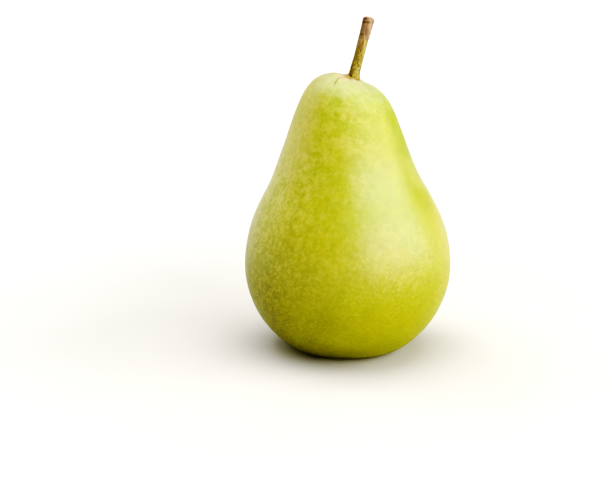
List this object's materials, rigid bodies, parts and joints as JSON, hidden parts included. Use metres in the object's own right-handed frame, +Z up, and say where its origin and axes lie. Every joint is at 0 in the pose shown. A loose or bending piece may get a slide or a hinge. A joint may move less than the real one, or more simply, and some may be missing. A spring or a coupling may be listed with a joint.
{
  "type": "fresh pear",
  "caption": "Whole fresh green pear with its woody stem and dried calyx, standing upright on the flat spot round the calyx basin.",
  "frame": {"origin": "where the fruit's axis meets the surface it stands on, at the centre of the flat spot", "axes": "+Z up along the fruit's axis, from the calyx to the stem; +X towards the side that the stem leans to and the crown slopes down to"},
  "size_m": [0.072, 0.0707, 0.118],
  "materials": {
    "skin": "smooth waxy fruit skin, semi-matte, pale yellow-green with darker green dots and soft mottling",
    "stem_bark": "dry woody stem, olive below and brown bark towards the cut tip",
    "calyx_dry": "dried papery sepal, rust brown, matte",
    "stamens_dry": "dried dark brown plant fibre, matte"
  },
  "bodies": {
    "root": {"fruit": "skin", "stem": "stem_bark", "sepal_1": "calyx_dry", "sepal_2": "calyx_dry", "sepal_3": "calyx_dry", "sepal_4": "calyx_dry", "sepal_5": "calyx_dry", "stamens": "stamens_dry"}
  },
  "joints": []
}
